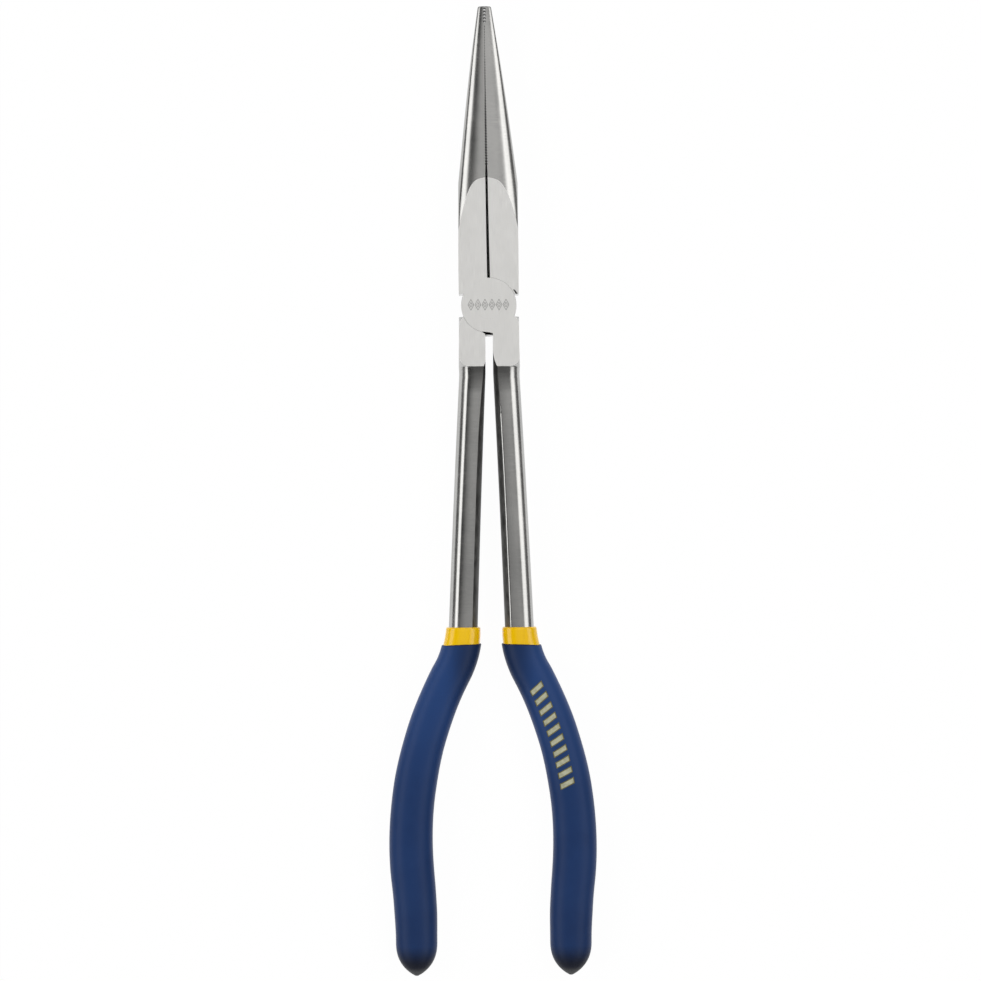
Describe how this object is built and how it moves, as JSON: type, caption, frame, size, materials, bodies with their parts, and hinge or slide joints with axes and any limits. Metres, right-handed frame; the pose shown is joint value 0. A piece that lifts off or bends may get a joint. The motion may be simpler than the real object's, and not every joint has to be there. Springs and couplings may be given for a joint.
{
  "type": "long nose pliers",
  "caption": "Long reach, long nose pliers: slim serrated jaws, lap joint with a flush rivet, straight arms and bowed dipped grips, blue over yellow.",
  "frame": {"origin": "on the pivot axis, in the plane of the joint's ground back face", "axes": "+X to the right across the closed jaws, +Y along the pliers to the tips, +Z out of the joint's front face, along the pivot"},
  "size_m": [0.0598, 0.2801, 0.0105],
  "materials": {
    "forged_steel": "forged steel, ground and satin polished, cheeks of the joint ground bright",
    "rivet_steel": "steel, ground flush with the joint's faces",
    "yellow_dip": "first dip coat, soft vinyl, glossy yellow",
    "blue_dip": "second dip coat, soft vinyl, satin dark blue"
  },
  "bodies": {
    "back": {"back_lever": "forged_steel", "pivot_rivet": "rivet_steel", "left_sleeve": "yellow_dip", "left_grip": "blue_dip"},
    "front": {"front_lever": "forged_steel", "right_sleeve": "yellow_dip", "right_grip": "blue_dip"}
  },
  "joints": [
    {"name": "jaw_pivot", "type": "hinge", "parent": "back", "child": "front", "pos_m": [0, 0, 0.00525], "axis": [0, 0, 1], "range_deg": [0, 40]}
  ]
}
